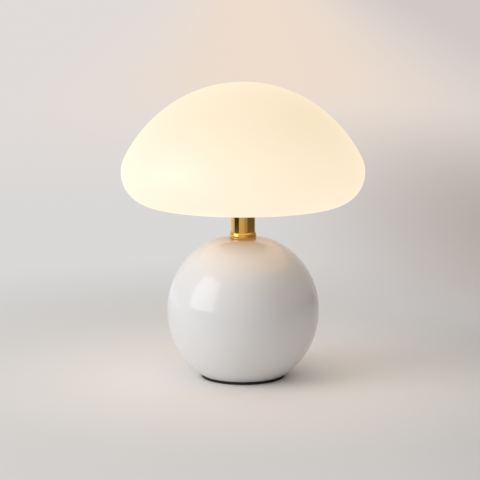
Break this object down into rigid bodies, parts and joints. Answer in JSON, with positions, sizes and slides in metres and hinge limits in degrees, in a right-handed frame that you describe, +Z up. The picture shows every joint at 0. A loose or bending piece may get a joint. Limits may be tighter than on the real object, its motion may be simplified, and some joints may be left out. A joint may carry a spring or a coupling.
{
  "type": "mushroom table lamp",
  "caption": "Mushroom table lamp: closed opal glass shade on a short brass neck and a round glazed ceramic base; the shade lifts off over a screw-in bulb.",
  "frame": {"origin": "centre of the foot pad's underside, on the table", "axes": "+Z up along the lamp's axis, front towards -Y, cord entry at the back towards +Y"},
  "size_m": [0.25, 0.25, 0.3055],
  "materials": {
    "opal_glass": "glossy blown opal glass, lit from inside",
    "white_glaze": "glossy white glaze",
    "polished_brass": "polished and lacquered",
    "plated_steel": "zinc plated",
    "ballast_iron": "as cast, painted black",
    "foot_foam": "dense black foam rubber",
    "clear_silicone": "soft translucent silicone",
    "black_moulding": "heat resistant black moulding",
    "steatite": "unglazed ivory ceramic",
    "contact_brass": "plain stamped brass",
    "cap_metal": "drawn, nickel coloured",
    "cap_insulator": "black glass",
    "bulb_white": "white moulding",
    "bulb_opal": "opal moulding, lit from inside",
    "spreader_aluminium": "stamped sheet",
    "board_white": "white solder mask",
    "chip_yellow": "yellow phosphor",
    "board_green": "green board with its parts",
    "terminal_white": "natural moulding",
    "brown_insulation": "brown insulation",
    "blue_insulation": "light blue insulation"
  },
  "bodies": {
    "base": {"foot_pad": "foot_foam", "base_plate": "plated_steel", "base_ball": "white_glaze", "ballast_disc": "ballast_iron", "cord_entry_bush": "black_moulding", "cord_entry_nut": "black_moulding", "neck_gasket": "clear_silicone", "neck_tube": "polished_brass", "neck_centring_disc": "contact_brass", "neck_collar": "polished_brass", "shade_gallery": "polished_brass", "shade_cushion_ring": "clear_silicone", "lamp_pipe": "plated_steel", "pipe_nuts": "plated_steel", "pipe_washers": "plated_steel", "pipe_spring_washer": "plated_steel", "holder_cup": "black_moulding", "holder_sleeve": "black_moulding", "holder_contact_carrier": "steatite", "holder_screw_shell": "contact_brass", "holder_centre_contact": "contact_brass", "holder_lead_clamps": "contact_brass", "holder_clamp_screws": "plated_steel", "terminal_block": "terminal_white", "terminal_block_screws": "plated_steel", "terminal_block_fixing_screw": "plated_steel", "live_lead": "brown_insulation", "neutral_lead": "blue_insulation"},
    "shade": {"glass_shade": "opal_glass"},
    "bulb": {"bulb_tip_contact": "cap_metal", "bulb_cap_insulator": "cap_insulator", "bulb_screw_cap": "cap_metal", "bulb_housing": "bulb_white", "bulb_heat_spreader": "spreader_aluminium", "bulb_light_board": "board_white", "bulb_light_chips": "chip_yellow", "bulb_driver_board": "board_green", "bulb_globe": "bulb_opal"}
  },
  "joints": [
    {"name": "shade_lift", "type": "slide", "parent": "base", "child": "shade", "axis": [0, 0, 1], "range_m": [0, 0.12]},
    {"name": "bulb_unscrew", "type": "hinge", "parent": "base", "child": "bulb", "pos_m": [0, 0, 0.21108], "axis": [0, 0, 1], "range_deg": [0, 1800]}
  ]
}
